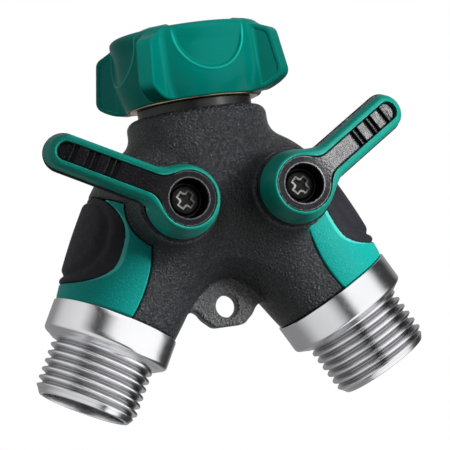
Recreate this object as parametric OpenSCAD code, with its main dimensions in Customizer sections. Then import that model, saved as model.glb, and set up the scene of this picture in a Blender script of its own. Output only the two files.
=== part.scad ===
// Two-way garden hose splitter: a swivel inlet nut on top, two legs with a quarter-turn ball
// valve and lever each, and a male hose thread at the end of each leg.
// Millimetres, +Z up. The origin is the centre of the inlet mouth, at the top of the swivel nut.
// The legs splay in the XZ plane, and the levers are on the -Y side.

/* [Inlet nut] */
// Height of the swivel nut
nut_h = 19; // [18.5:0.1:20]
// Radius of the nut's cup
nut_r = 19.7; // [19.2:0.1:21]
// Radius to the tips of the nut's lugs
lug_r = 26.8; // [24:0.1:30]
// Width of each lug
lug_w = 5.4; // [4:0.1:7]
// Width of the thumb recess between two lugs
recess_w = 15.5; // [12:0.1:16]
// Angle that the nut stands at
nut_turn = 6.3; // [0:0.1:45]

/* [Hose thread] */
// Distance between thread crests (11.5 to the inch)
pitch = 2.209; // [2.209]
// Outer radius of the male thread
male_r = 13.45; // [13.45]
// Inner radius of the female thread
female_r = 12.25; // [12.25]

/* [Legs] */
// Angle of each leg from straight down
leg_splay = 28.7; // [28:0.1:31]
// Distance along a leg from the splitting point to the valve's axis
valve_s = 30.8; // [30.8:0.1:32]
// Distance along a leg to the metal collar
collar_s = 60.1; // [60.1:0.1:63]
// Distance along a leg to the end of the thread
outlet_s = 84; // [84:0.1:88]
// Radius of the cover at the middle of a leg
cover_r = 17.4; // [17:0.1:18]
// Radius of the cover's neck
neck_r = 18.15; // [17.5:0.1:19]
// Radius of the metal collar
collar_r = 16.5; // [16:0.1:17.5]

/* [Levers] */
// Distance of the knob's face in front of the legs' plane
ring_z = 39.7; // [39:0.1:42]
// Radius of the knob's foot
knob_r = 9.4; // [9.2:0.1:10]
// Distance from the knob's axis to where the arm starts to fall back
arm_start = 6.5; // [6:0.1:7]
// Length of the arm from there to its tip
arm_l = 31.5; // [28:0.1:36]
// Angle at which the arm falls back towards the body
arm_tilt = 18.3; // [15:0.1:19]
// Angle that the arm leans towards the nut, from square to the leg
arm_lean = 2.2; // [0:0.1:4]
// Width of the arm at its tip
arm_w = 9.2; // [8:0.1:10]

/* [Hanging tab] */
// Radius of the hole in the tab
tab_hole_r = 2.75; // [2:0.05:3]
// Thickness of the tab
tab_t = 5; // [4:0.1:6]

/* [Hidden] */
$fn = 64;

LEFT = -1;
RIGHT = 1;
gap = 0.05;              // gap between two pieces that are fixed together
run = 0.05;              // radial clearance where one piece turns inside another
eps = 0.01;              // lets a cutter pass through the face that it opens
far = 60;                // longer than anything that a cutter has to cross

// Swivel, measured up from the nut's bottom at z = -nut_h
hub_r = 14.8;            // the manifold's top, seen as a metal band under the nut
hub_gap = 0.4;           // from the nut's bottom to the manifold's top
swivel_r = 10.5;
swivel_bore_r = 7.4;
swivel_plug = 12;        // how far the swivel stem goes into the manifold
insert_r = 15;
insert_flange_r = 17.3;  // a sliver of this flange shows under the grip
insert_flange_h = 1.2;
flange_r = 12.4;
washer_r = 12.6;
washer_h = 2.5;
washer_z = -14.3;
recess_r = 13.6;

// Inside a leg
leg_tube_r = 14.2;
tube_s = 25;             // the leg tube has its full radius from here on
throat_r = 9;            // and narrows to this at throat_s, inside the hub
throat_s = 14;
passage_r = 5.5;
cavity_r = 9.2;
cavity_s = valve_s - 8.4;
socket_r = 12.35;
socket_s = valve_s + 18.4;
ball_r = 8.25;
ball_bore_r = 5.2;
seat_near = 3.3;         // from the ball's centre to a seat's nearer face
seat_far = 8.3;

// Valve stem and gland, measured out from the legs' plane
stem_r = 4.05;
collar_z = 9.3;
collar_h = 2;
packing_z = 18;
boss_z = 26;
boss_r = 9;
cover_boss_z = 29;
cover_boss_r = 10.6;
stem_top = 32.4;
drive_w = 5.6;
oring_r = 0.96;

// Lever
hub_core_r = 6.95;
cup_r = 5.1;
cup_floor = 34;
skirt_z = 29.6;
plate_h = 1.2;
grip_h = 4.4;
channel_w = 4.8;
channel_floor = 2.2;
channel_top = 0.9;
screw_r = 1.45;

// Hanging tab
tab_hole_z = -53;
tab_front = -3.6;
tab_end = -58.2;

// ---------------------------------------------------------------- frames and helpers

// Leg frame: origin where the legs meet, the leg runs down -Z, +X is the leg's outer side
module leg_frame(side) {
    mirror([side < 0 ? 1 : 0, 0, 0])
        translate([0, 0, -nut_h])
            rotate([0, -leg_splay, 0])
                children();
}

// Valve frame: origin on the leg's axis, +Z out of the front, +X along the closed lever
module valve_frame(side) {
    leg_frame(side)
        translate([0, 0, -valve_s])
            rotate([90, 0, 0])
                children();
}

// Ring about Z between two heights
module ring(r_out, r_in, low, high) {
    rotate_extrude()
        translate([r_in, low])
            square([r_out - r_in, high - low]);
}

// Ring about a leg's axis between two distances from the splitting point
module band(r_out, r_in, s0, s1) {
    ring(r_out, r_in, -s1, -s0);
}

module rod(r, low, high) {
    translate([0, 0, low])
        cylinder(r = r, h = high - low);
}

// O-ring about Z
module oring(r_mid, r_section, z) {
    rotate_extrude()
        translate([r_mid, z])
            circle(r = r_section, $fn = 24);
}

// One thread crest about Z: a flat top of crest_w between two flanks at 60 degrees
module crest(r_root, r_crest, z) {
    crest_w = 0.35;
    half = crest_w / 2 + abs(r_crest - r_root) * tan(30);
    rotate_extrude()
        polygon([[r_root, z - half], [r_crest, z - crest_w / 2],
                 [r_crest, z + crest_w / 2], [r_root, z + half]]);
}

// ---------------------------------------------------------------- swivel inlet

module nut_lug(angle) {
    foot = -nut_h;
    rotate([0, 0, angle])
        rotate([90, 0, 0])
            linear_extrude(lug_w, center = true)
                polygon([[insert_r + 1, foot + 0.6], [lug_r - 3.6, foot + 0.8],
                         [lug_r - 0.6, foot + 3.6], [lug_r, foot + 5.4],
                         [lug_r - 1.7, foot + 15.6], [lug_r - 3.2, foot + 16.6],
                         [insert_r + 1, foot + 17.6]]);
}

// U-shaped cutter that leaves a shallow thumb recess, open at the nut's top
module thumb_recess(angle) {
    floor_r = 18.3;
    low = -nut_h + 7 + recess_w / 2;
    difference() {
        rotate([0, 0, angle])
            translate([0, 0, low]) {
                rotate([0, 90, 0])
                    cylinder(r = recess_w / 2, h = far);
                translate([0, -recess_w / 2, 0])
                    cube([far, recess_w, nut_h]);
            }
        rod(floor_r, -nut_h - 1, nut_h);
    }
}

// Green plastic grip of the swivel nut
module nut_grip() {
    foot = -nut_h;
    edge = 1.2;
    color([0.02, 0.45, 0.37])
        difference() {
            union() {
                rotate_extrude()
                    polygon([[insert_r + gap, foot + 0.3], [17.6, foot + 0.3], [17.9, foot + 0.4],
                             [nut_r - 0.1, foot + 5.2], [nut_r, foot + 6.5], [nut_r - 0.1, foot + 13],
                             [nut_r - edge, -edge], [nut_r - 1.4 * edge, -0.3 * edge],
                             [nut_r - 1.9 * edge, 0], [insert_r + gap, 0]]);
                for (a = [45 : 90 : 315])
                    nut_lug(a + nut_turn);
            }
            for (a = [0 : 90 : 270])
                thumb_recess(a + nut_turn);
            rod(insert_r + gap, foot - 1, 1);
            rod(insert_flange_r + gap, foot - 1, foot + insert_flange_h + gap);
        }
}

// Metal insert with the female hose thread and the shoulder that the nut swivels on
module nut_insert() {
    lip_h = 0.6;
    crests = 5;
    foot = -nut_h - 0.2;
    color([0.72, 0.62, 0.42]) {
        rotate_extrude()
            polygon([[swivel_r + run, foot], [insert_flange_r, foot],
                     [insert_flange_r, -nut_h + insert_flange_h], [insert_r, -nut_h + insert_flange_h],
                     [insert_r, 0], [female_r, 0],
                     [female_r, -lip_h], [recess_r, -lip_h - 0.8],
                     [recess_r, foot + 3.2], [swivel_r + run, foot + 3.2]]);
        for (i = [0 : crests - 1])
            crest(recess_r + 0.2, female_r, -1.9 - i * pitch);
    }
}

// Flat rubber washer with ears, held in the nut
module inlet_washer() {
    ears = 3;
    color([0.12, 0.12, 0.13])
        difference() {
            union() {
                rod(washer_r, washer_z, washer_z + washer_h);
                for (i = [0 : ears - 1])
                    rotate([0, 0, 90 + i * 360 / ears])
                        translate([washer_r - 0.2, 0, washer_z])
                            cylinder(r = 1, h = washer_h, $fn = 24);
            }
            rod(8.2, washer_z - 1, 0);
        }
}

// Flanged tube that the nut hangs on
module swivel_stem() {
    low = -nut_h - hub_gap - swivel_plug;
    flange_low = -nut_h + 3.05;
    groove_z = -nut_h - 6;
    color([0.62, 0.62, 0.64])
        difference() {
            union() {
                rod(swivel_r, low, flange_low);
                rod(flange_r, flange_low, washer_z - gap);
            }
            rod(swivel_bore_r, low - 1, 0);
            ring(far, swivel_r - 1.75, groove_z - 1, groove_z + 1);
        }
}

module swivel_oring() {
    color([0.1, 0.1, 0.1])
        oring(swivel_r - 0.83, 0.85, -nut_h - 6);
}

// ---------------------------------------------------------------- manifold

// Outside of the casting, grown by `grow` to make its own pocket in the cover
module manifold_outside(grow) {
    rod(hub_r + grow, -nut_h - 22, -nut_h - hub_gap);
    for (side = [LEFT, RIGHT]) {
        leg_frame(side) {
            rod(leg_tube_r + grow, -collar_s + 0.1 - grow, -tube_s);
            translate([0, 0, -tube_s])
                cylinder(r1 = leg_tube_r + grow, r2 = throat_r + grow, h = tube_s - throat_s);
        }
        valve_frame(side)
            rod(boss_r + grow, 0, boss_z);
    }
}

// Y-shaped casting that carries the water
module manifold() {
    color([0.42, 0.42, 0.44])
        difference() {
            manifold_outside(0);
            rod(swivel_r + gap, -nut_h - hub_gap - swivel_plug, 0);
            rod(swivel_bore_r, -nut_h - 21, 0);
            for (side = [LEFT, RIGHT]) {
                leg_frame(side) {
                    rod(passage_r, -cavity_s - 1, -10);
                    rod(cavity_r, -socket_s - 1, -cavity_s);
                    rod(socket_r, -far - 10, -socket_s);
                }
                valve_frame(side) {
                    rod(stem_r + 1.35, 0, collar_z + collar_h + 0.1);
                    rod(stem_r + run, 0, packing_z + 1);
                    rod(stem_r + 2, packing_z, boss_z + 1);
                }
            }
        }
}

// ---------------------------------------------------------------- cover, panels and pads

// Radius of the cover at distance s along a leg: fullest at belly_s, slimmer at the collar,
// and falling away to the neck on the other side
belly_s = 39;
shoulder_s = 22;
collar_drop = 1.4;
shoulder_drop = 2.7;
function leg_r(s) = s > belly_s
    ? cover_r - collar_drop * pow((s - belly_s) / (collar_s - belly_s), 2)
    : cover_r - shoulder_drop * pow((belly_s - s) / (belly_s - shoulder_s), 3);

// Outline of a leg's outside, from r_in out to the cover's surface grown by `proud`
module leg_outline(r_in, s0, s1, proud) {
    steps = 8;
    s = [for (i = [0 : steps]) s0 + (s1 - s0) * i / steps];
    polygon(concat([[r_in, -s1], [r_in, -s0]], [for (v = s) [leg_r(v) + proud, -v]]));
}

module leg_shell(r_in, s0, s1, proud) {
    rotate_extrude()
        leg_outline(r_in, s0, s1, proud);
}

panel_in = 14.9;
panel_s = 33.4;
panel_edge = -0.8;
pad_s = 45.1;
pad_r = 11.1;
pad_shift = 3.9;

// Half-ring pocket on the outer side of a leg, from beside the valve to the collar
module panel_space(grow) {
    translate([panel_edge - grow, -far / 2, -collar_s + 0.1 - grow])
        cube([far / 2, far, collar_s - 0.1 - panel_s + 2 * grow]);
}

// Oval outline of the grip pad, extruded outwards from the leg's axis
module pad_space(grow) {
    translate([5, 0, -pad_s])
        rotate([0, 90, 0])
            linear_extrude(20) {
                square([2 * pad_r + 2 * grow, 2 * pad_shift], center = true);
                for (j = [-1, 1])
                    translate([0, j * pad_shift])
                        circle(r = pad_r + grow);
            }
}

// Post around the valve's boss, where the cover comes through the side panel
module boss_space(grow) {
    translate([0, 0, -valve_s])
        rotate([90, 0, 0])
            rod(cover_boss_r + grow, 0, far);
}

module neck() {
    round_r = 2.6;
    top = -nut_h - 2.5;
    rotate_extrude() {
        translate([hub_r + gap, top - 8])
            square([neck_r - hub_r - gap, 8 - round_r]);
        translate([hub_r + gap, top - round_r - eps])
            square([neck_r - round_r - hub_r - gap, round_r + eps]);
        intersection() {
            translate([neck_r - round_r, top - round_r])
                circle(r = round_r, $fn = 32);
            translate([neck_r - round_r - eps, top - round_r - eps])
                square(round_r + 1);
        }
    }
}

// Flat lug between the legs, with a hole to hang the splitter on a hook
module hanging_tab() {
    foot_w = 4.3;
    shoulder_w = 8.2;
    shoulder_z = tab_end + 3.6;
    root_w = 14;
    root_z = -30;
    translate([0, tab_front + tab_t, -nut_h])
        rotate([90, 0, 0])
            linear_extrude(tab_t)
                polygon([[-root_w, root_z], [-root_w, -50], [-shoulder_w, shoulder_z], [-foot_w, tab_end],
                         [foot_w, tab_end], [shoulder_w, shoulder_z], [root_w, -50], [root_w, root_z]]);
}

// Black moulded cover over the casting
module body_cover() {
    color([0.14, 0.14, 0.16])
        difference() {
            union() {
                neck();
                hull() {
                    rod(neck_r, -nut_h - 9.5, -nut_h - 8.5, $fn = 32);
                    for (side = [LEFT, RIGHT])
                        leg_frame(side)
                            translate([0, 0, -valve_s - 1])
                                sphere(r = cover_r - 0.1, $fn = 32);
                }
                for (side = [LEFT, RIGHT]) {
                    leg_frame(side)
                        leg_shell(leg_tube_r - 3, shoulder_s, collar_s - 0.1, 0);
                    valve_frame(side) {
                        rod(cover_boss_r, 8, cover_boss_z);
                        translate([-2.5, 0, 8])
                            cylinder(r1 = 14, r2 = 9.5, h = cover_boss_z - 10);
                    }
                }
                hanging_tab();
            }
            manifold_outside(gap);
            for (side = [LEFT, RIGHT]) {
                valve_frame(side)
                    rod(boss_r + gap, boss_z - 1, far);
                leg_frame(side)
                    difference() {
                        panel_space(gap);
                        rod(panel_in, -far - 10, 0);
                        boss_space(0);
                    }
            }
            translate([0, 0, tab_hole_z - nut_h])
                rotate([90, 0, 0])
                    cylinder(r = tab_hole_r, h = far, center = true);
        }
}

// Green panel around the outer side of a leg
module side_panel(side) {
    color([0.08, 0.62, 0.52])
        leg_frame(side)
            difference() {
                intersection() {
                    leg_shell(panel_in + gap, shoulder_s, collar_s - 0.1, 0.1);
                    panel_space(0);
                }
                pad_space(gap);
                boss_space(gap);
            }
}

// Soft black pad in the window of the side panel
module grip_pad(side) {
    color([0.18, 0.18, 0.2])
        leg_frame(side)
            intersection() {
                leg_shell(panel_in + gap, shoulder_s, collar_s - 0.1, 0.4);
                pad_space(0);
            }
}

// ---------------------------------------------------------------- outlets

// Metal collar and male hose thread, with a shank that screws into the leg
module outlet(side) {
    crests = 6;
    mouth_r = 11;
    nose_s = valve_s + seat_far + gap;
    root_r = 12.15;
    first_s = collar_s + 9.9;
    lip_s = outlet_s - 1.6;
    color([0.8, 0.8, 0.82])
        leg_frame(side)
            difference() {
                union() {
                    rotate_extrude()
                        polygon([[6.5, -nose_s], [cavity_r - gap, -nose_s],
                                 [cavity_r - gap, -socket_s - gap], [socket_r - gap, -socket_s - gap],
                                 [socket_r - gap, -collar_s], [collar_r, -collar_s],
                                 [collar_r, -collar_s - 7], [collar_r - 0.5, -collar_s - 7.8],
                                 [collar_r - 1.4, -collar_s - 8.3], [root_r, -collar_s - 8.9],
                                 [root_r, -lip_s], [root_r - 0.3, -outlet_s], [mouth_r, -outlet_s],
                                 [mouth_r, -collar_s - 2], [mouth_r - 2, -collar_s + 1],
                                 [mouth_r - 2, -socket_s - 2], [6.5, -socket_s + 1]]);
                    for (i = [0 : crests - 1])
                        crest(root_r - 0.2, male_r, -first_s - i * pitch);
                }
                band(far, socket_r - 2, socket_s + 4, socket_s + 6.2);
            }
}

module outlet_oring(side) {
    color([0.1, 0.1, 0.1])
        leg_frame(side)
            oring(socket_r - 0.97, 0.93, -socket_s - 5.1);
}

// ---------------------------------------------------------------- valves

// Pair of seat rings, one on each side of the ball
module ball_seats(side) {
    color([0.92, 0.92, 0.9])
        valve_frame(side)
            difference() {
                for (flip = [0, 180])
                    rotate([-90 + flip, 0, 0])
                        ring(cavity_r - gap, 6, seat_near, seat_far);
                sphere(r = ball_r + 0.02);
            }
}

// Ball with its bore across the leg, so that the valve is closed
module valve_ball(side) {
    slot_w = 2.6;
    slot_floor = 6;
    color([0.75, 0.75, 0.78])
        valve_frame(side)
            difference() {
                sphere(r = ball_r);
                rotate([0, 90, 0])
                    cylinder(r = ball_bore_r, h = far, center = true);
                translate([-ball_r, -slot_w / 2, slot_floor])
                    cube([2 * ball_r, slot_w, ball_r]);
            }
}

// Stem from the ball's slot to the lever's square drive
module valve_stem(side) {
    tongue_l = 6;
    tongue_w = 2.5;
    tongue_z = 6.05;
    square_z = skirt_z - 1;
    color([0.7, 0.6, 0.4])
        valve_frame(side)
            difference() {
                union() {
                    translate([-tongue_l / 2, -tongue_w / 2, tongue_z])
                        cube([tongue_l, tongue_w, collar_z - tongue_z + eps]);
                    rod(stem_r + 1.2, collar_z, collar_z + collar_h);
                    rod(stem_r, collar_z + 1, square_z);
                    translate([-drive_w / 2, -drive_w / 2, square_z - eps])
                        cube([drive_w, drive_w, stem_top - square_z]);
                }
                rod(screw_r + gap, 22, far);
            }
}

module stem_oring(side) {
    color([0.1, 0.1, 0.1])
        valve_frame(side)
            oring(stem_r + run + oring_r, oring_r, packing_z + oring_r + gap);
}

// Gland nut that holds the stem's O-ring down
module gland_nut(side) {
    head_r = 6.9;
    low = packing_z + 2 * oring_r + 2 * gap;
    color([0.7, 0.6, 0.4])
        valve_frame(side)
            difference() {
                union() {
                    rod(stem_r + 2 - gap, low, boss_z + 1);
                    translate([0, 0, boss_z + gap])
                        cylinder(r = head_r, h = 2.4, $fn = 6);
                }
                rod(stem_r + run, low - 1, far);
            }
}

// ---------------------------------------------------------------- levers

// Arm frame, inside the valve frame: +X runs along the arm and z = 0 is the arm's top
module in_arm_frame() {
    rotate([0, 0, arm_lean])
        translate([arm_start, 0, ring_z])
            rotate([0, arm_tilt, 0])
                children();
}

// Outline of the arm from above, grown by `grow`
module arm_outline(grow) {
    tip_r = arm_w / 2 + grow;
    tip_x = arm_l - arm_w / 2;
    neck_w = 5.3 + grow;
    polygon([[0.4, -5.8 - grow], [6.5, -neck_w], [tip_x, -tip_r],
             [tip_x, tip_r], [6.5, neck_w], [0.4, 5.8 + grow]]);
    translate([tip_x, 0])
        circle(r = tip_r);
}

// Outline of the inlay channel that runs from the knob to near the arm's tip
module channel_outline(grow) {
    end_x = arm_l - 5.3;
    translate([0, -channel_w / 2 - grow])
        square([end_x, channel_w + 2 * grow]);
    translate([end_x, 0])
        circle(r = channel_w / 2 + grow);
}

// Green grip: the knob's skirt and the arm's outer shell
module lever_grip(side) {
    low = skirt_z + 1.4 + gap;
    color([0.05, 0.55, 0.45])
        valve_frame(side)
            difference() {
                union() {
                    rotate_extrude()
                        polygon([[5, low], [knob_r, low], [knob_r - 0.1, ring_z - 6.4],
                                 [7.85, ring_z - 0.5], [7.4, ring_z], [5, ring_z]]);
                    in_arm_frame()
                        translate([0, 0, -grip_h])
                            linear_extrude(grip_h)
                                arm_outline(0);
                }
                rod(hub_core_r + gap, 0, far);
                in_arm_frame() {
                    translate([0, 0, -channel_floor - gap])
                        linear_extrude(far)
                            channel_outline(gap);
                    translate([0, 0, -grip_h - gap - far])
                        linear_extrude(far + gap)
                            arm_outline(0.5);
                }
            }
}

// Black core: hub, screw cup, base flange, under-plate and the inlay with its ridges
module lever_core(side) {
    ridge_pairs = 3;
    flange_h = 1.4;
    color([0.1, 0.1, 0.11])
        valve_frame(side)
            difference() {
                union() {
                    rod(knob_r + 0.4, skirt_z, skirt_z + flange_h);
                    rod(hub_core_r, skirt_z, ring_z - 0.2);
                    in_arm_frame() {
                        translate([0, 0, -grip_h - gap - plate_h])
                            linear_extrude(plate_h)
                                arm_outline(0.25);
                        translate([0, 0, -channel_floor])
                            linear_extrude(channel_floor - channel_top)
                                channel_outline(0);
                        for (i = [0 : ridge_pairs - 1], j = [0, 1])
                            translate([arm_l - 5.9 - 5.65 * i - 1.5 * j, -channel_w / 2 + 0.2, -channel_floor])
                                cube([0.7, channel_w - 0.4, channel_floor - channel_top + 0.45]);
                    }
                }
                rod(cup_r, cup_floor, far);
                translate([-drive_w / 2 - gap, -drive_w / 2 - gap, 0])
                    cube([drive_w + 2 * gap, drive_w + 2 * gap, stem_top + gap]);
                rod(screw_r + 0.15, 0, far);
            }
}

// Cross-recessed screw in the middle of the knob
module lever_screw(side) {
    head_r = 3.1;
    head_h = 1.7;
    blade = 0.95;
    cross_w = 3.8;
    color([0.25, 0.25, 0.26])
        valve_frame(side)
            difference() {
                union() {
                    rod(screw_r, 24, cup_floor + 1);
                    rod(head_r, cup_floor + gap, cup_floor + gap + head_h);
                }
                for (a = [0, 90])
                    rotate([0, 0, a])
                        translate([-cross_w / 2, -blade / 2, cup_floor + 0.7])
                            cube([cross_w, blade, head_h]);
            }
}

// ---------------------------------------------------------------- assembly

manifold();
body_cover();
side_panel(LEFT);  // left_side_panel
side_panel(RIGHT);  // right_side_panel
grip_pad(LEFT);  // left_grip_pad
grip_pad(RIGHT);  // right_grip_pad
outlet(LEFT);  // left_outlet
outlet(RIGHT);  // right_outlet
outlet_oring(LEFT);  // left_outlet_oring
outlet_oring(RIGHT);  // right_outlet_oring
ball_seats(LEFT);  // left_ball_seats
ball_seats(RIGHT);  // right_ball_seats
valve_ball(LEFT);  // left_valve_ball
valve_ball(RIGHT);  // right_valve_ball
valve_stem(LEFT);  // left_valve_stem
valve_stem(RIGHT);  // right_valve_stem
stem_oring(LEFT);  // left_stem_oring
stem_oring(RIGHT);  // right_stem_oring
gland_nut(LEFT);  // left_gland_nut
gland_nut(RIGHT);  // right_gland_nut
lever_core(LEFT);  // left_lever_core
lever_core(RIGHT);  // right_lever_core
lever_grip(LEFT);  // left_lever_grip
lever_grip(RIGHT);  // right_lever_grip
lever_screw(LEFT);  // left_lever_screw
lever_screw(RIGHT);  // right_lever_screw
swivel_stem();
swivel_oring();
nut_insert();
nut_grip();
inlet_washer();
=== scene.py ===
import math

import bpy
import numpy as np
from mathutils import Matrix, Vector


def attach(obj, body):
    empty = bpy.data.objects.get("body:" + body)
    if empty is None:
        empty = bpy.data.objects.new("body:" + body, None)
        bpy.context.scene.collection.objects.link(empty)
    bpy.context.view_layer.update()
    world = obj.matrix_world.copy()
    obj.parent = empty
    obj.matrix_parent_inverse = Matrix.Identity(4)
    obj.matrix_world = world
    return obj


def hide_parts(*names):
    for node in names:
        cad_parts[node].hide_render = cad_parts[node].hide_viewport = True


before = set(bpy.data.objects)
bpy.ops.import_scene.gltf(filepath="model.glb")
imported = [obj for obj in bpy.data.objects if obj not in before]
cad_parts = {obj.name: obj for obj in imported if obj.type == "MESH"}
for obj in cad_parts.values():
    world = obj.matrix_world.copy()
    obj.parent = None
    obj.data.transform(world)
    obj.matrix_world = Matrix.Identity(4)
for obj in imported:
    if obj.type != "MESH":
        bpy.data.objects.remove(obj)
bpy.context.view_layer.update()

# ------------------------------------------------------------------ sizes, in mm, as in the CAD model

MM = 0.001
NUT_H = 19.0
LEG_ANGLE = math.radians(28.7)
SIN, COS = math.sin(LEG_ANGLE), math.cos(LEG_ANGLE)
VALVE_S = 30.8          # along a leg, from the splitting point to the valve
COLLAR_S = 60.1
OUTLET_S = 84.0
COVER_R = 17.4
NECK_R = 18.15
COLLAR_R = 16.5
PITCH = 2.209
MALE_R = 13.45
MALE_ROOT_R = 12.15
FEMALE_R = 12.25
FEMALE_ROOT_R = 13.6
MOUTH_R = 11.0
RING_C = 39.7           # the knob's face, in front of the legs' plane
KNOB_R = 9.4
ARM_START = 6.5
ARM_L = 31.5
ARM_TILT = math.radians(18.3)
ARM_LEAN = 2.2          # degrees
ARM_HALF = 4.6
GRIP_H = 4.4
CHANNEL_DEPTH = 2.3
SCREW_TURN = 15.0       # degrees
CHANNEL_HALF = 2.4
CHANNEL_END = 28.6
NUT_R = 19.75
NUT_TURN = 6.3          # degrees
LUG_R = 26.85
LUG_HALF = 2.55
FLANGE_R = 16.7
BELLY_S, SHOULDER_S = 39.0, 22.0            # where a leg is thickest, and where it meets the trunk
COLLAR_DROP, SHOULDER_DROP = 1.4, 2.7       # how much thinner it is at the collar and at the shoulder
PANEL_IN = 14.95
PANEL_TOP_S = 33.4
BOSS_R = 10.6
BOSS_C = 29.0
TUBE_R = 14.25          # the cover's pocket for the casting, round a leg's tube
HUB_R = 14.85           # the same round the hub
STEM_R = 9.05           # the same round a valve stem's boss
TAB_DROP = 53.0         # from the splitting point down to the tab's hole
TAB_HOLE_R = 2.75
SKIRT_C = 29.6
CUP_R = 4.9
CUP_FLOOR = 34.0
HUB_CORE_R = 6.9
GAP = 0.06              # half of the seam that shows between two fixed pieces
COARSE = 1.0
CAMERA_YAW = math.radians(14.75)

# ------------------------------------------------------------------ distance fields


def smin(a, b, k):
    """Smaller of two fields, blended over a width k."""
    h = np.maximum(k - np.abs(a - b), 0.0) / k
    return np.minimum(a, b) - h * h * k * 0.25


def smax(a, b, k):
    return -smin(-a, -b, k)


def corner(a, b, r):
    """Intersection of two fields, with an outer edge rounded to radius r."""
    qa, qb = a + r, b + r
    return np.minimum(np.maximum(qa, qb), 0.0) + np.hypot(np.maximum(qa, 0.0), np.maximum(qb, 0.0)) - r


def step(low, high, x):
    t = np.clip((x - low) / (high - low), 0.0, 1.0)
    return t * t * (3.0 - 2.0 * t)


def bump(x, width):
    return np.exp(-(x / width) ** 2)


def rotated(x, y, degrees):
    """Coordinates along and across a direction at this angle."""
    a = math.radians(degrees)
    return x * math.cos(a) + y * math.sin(a), y * math.cos(a) - x * math.sin(a)


# ------------------------------------------------------------------ mesh from a field


def sample(field, low, high, cell):
    """Values of a field on a grid. Only the blocks that the surface may cross are worked out."""
    block = 6
    blocks = [int(math.ceil((high[i] - low[i]) / cell / block)) for i in range(3)]
    counts = [b * block + 1 for b in blocks]
    centres = [low[i] + cell * block * (np.arange(blocks[i]) + 0.5) for i in range(3)]
    cx, cy, cz = np.meshgrid(*centres, indexing="ij")
    rough = field(cx.ravel(), cy.ravel(), cz.ravel()).reshape(blocks)
    near = np.abs(rough) < block * cell * 0.87 * 1.5
    values = np.ones(counts, dtype=np.float32)
    mask = np.zeros(counts, dtype=bool)
    fine_near = near.repeat(block, 0).repeat(block, 1).repeat(block, 2)
    fine_rough = rough.astype(np.float32).repeat(block, 0).repeat(block, 1).repeat(block, 2)
    values[:-1, :-1, :-1] = fine_rough
    mask[:-1, :-1, :-1] = fine_near
    for axis in range(3):
        grown = mask.copy()
        after = [slice(None)] * 3
        before = [slice(None)] * 3
        after[axis], before[axis] = slice(1, None), slice(None, -1)
        grown[tuple(after)] |= mask[tuple(before)]
        mask = grown
    i, j, k = np.nonzero(mask)
    for start in range(0, len(i), 400000):
        part = slice(start, start + 400000)
        a, b, c = i[part], j[part], k[part]
        values[a, b, c] = field(low[0] + a * cell, low[1] + b * cell, low[2] + c * cell)
    return values


def net(values, low, cell):
    """Surface net: one vertex in each cell that the surface crosses, one quad for each crossed edge."""
    inside = values < 0
    shape = [n - 1 for n in inside.shape]
    corners = [(x, y, z) for x in (0, 1) for y in (0, 1) for z in (0, 1)]
    count = np.zeros(shape, dtype=np.uint8)
    for x, y, z in corners:
        count += inside[x:x + shape[0], y:y + shape[1], z:z + shape[2]]
    cells = np.nonzero((count > 0) & (count < 8))
    number = np.full(shape, -1, dtype=np.int32)
    number[cells] = np.arange(len(cells[0]))
    at = np.array([values[cells[0] + x, cells[1] + y, cells[2] + z] for x, y, z in corners],
                  dtype=np.float64)
    place = np.array(corners, dtype=np.float64)
    total = np.zeros((len(cells[0]), 3))
    hits = np.zeros(len(cells[0]))
    for p in range(8):
        for q in range(p + 1, 8):
            if np.abs(place[p] - place[q]).sum() != 1:
                continue
            crossed = (at[p] < 0) != (at[q] < 0)
            t = at[p][crossed] / (at[p][crossed] - at[q][crossed])
            total[crossed] += place[p] + t[:, None] * (place[q] - place[p])
            hits[crossed] += 1
    points = np.array(low) + cell * (np.stack(cells, 1) + total / hits[:, None])
    quads = []
    for axis in range(3):
        b, c = (axis + 1) % 3, (axis + 2) % 3
        lower = [slice(1, -1)] * 3
        upper = [slice(1, -1)] * 3
        lower[axis], upper[axis] = slice(0, -1), slice(1, None)
        first, second = inside[tuple(lower)], inside[tuple(upper)]
        edge = np.stack(np.nonzero(first != second), 1)
        outward = first[tuple(edge.T)]
        edge[:, b] += 1
        edge[:, c] += 1
        ring = []
        for db, dc in ((-1, -1), (0, -1), (0, 0), (-1, 0)):
            cell_at = edge.copy()
            cell_at[:, b] += db
            cell_at[:, c] += dc
            ring.append(number[tuple(cell_at.T)])
        ring = np.stack(ring, 1)
        ring[~outward] = ring[~outward][:, ::-1]
        quads.append(ring)
    return points, np.concatenate(quads)


def slope(field, points, h):
    """Gradient of a field, from points a step h to each side."""
    out = np.empty_like(points)
    for axis in range(3):
        d = np.zeros(3)
        d[axis] = h
        out[:, axis] = (field(*(points + d).T) - field(*(points - d).T)) / (2 * h)
    return out


def settle(field, points, quads, cell):
    """Evens out the net and draws it back onto the surface."""
    for turn in range(3):
        if turn < 2:
            total = np.zeros_like(points)
            hits = np.zeros(len(points))
            middle = points[quads].mean(axis=1)
            for corner_at in range(4):
                np.add.at(total, quads[:, corner_at], middle)
                np.add.at(hits, quads[:, corner_at], 1)
            points = points + 0.5 * (total / hits[:, None] - points)
        for _ in range(2):
            grad = slope(field, points, 0.02 * cell + 0.004)
            size = np.maximum((grad ** 2).sum(1), 0.05)
            move = (field(*points.T) / size)[:, None] * grad
            far = np.maximum(np.linalg.norm(move, axis=1) / (0.6 * cell), 1.0)
            points = points - move / far[:, None]
    grad = slope(field, points, 0.1 * cell + 0.004)
    size = np.maximum(np.linalg.norm(grad, axis=1), 1e-3)
    normals = grad / size[:, None]
    depth = 0.35
    edge = 1.0 + field(*(points - depth * normals).T) / (depth * size)
    return points, normals, edge


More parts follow.
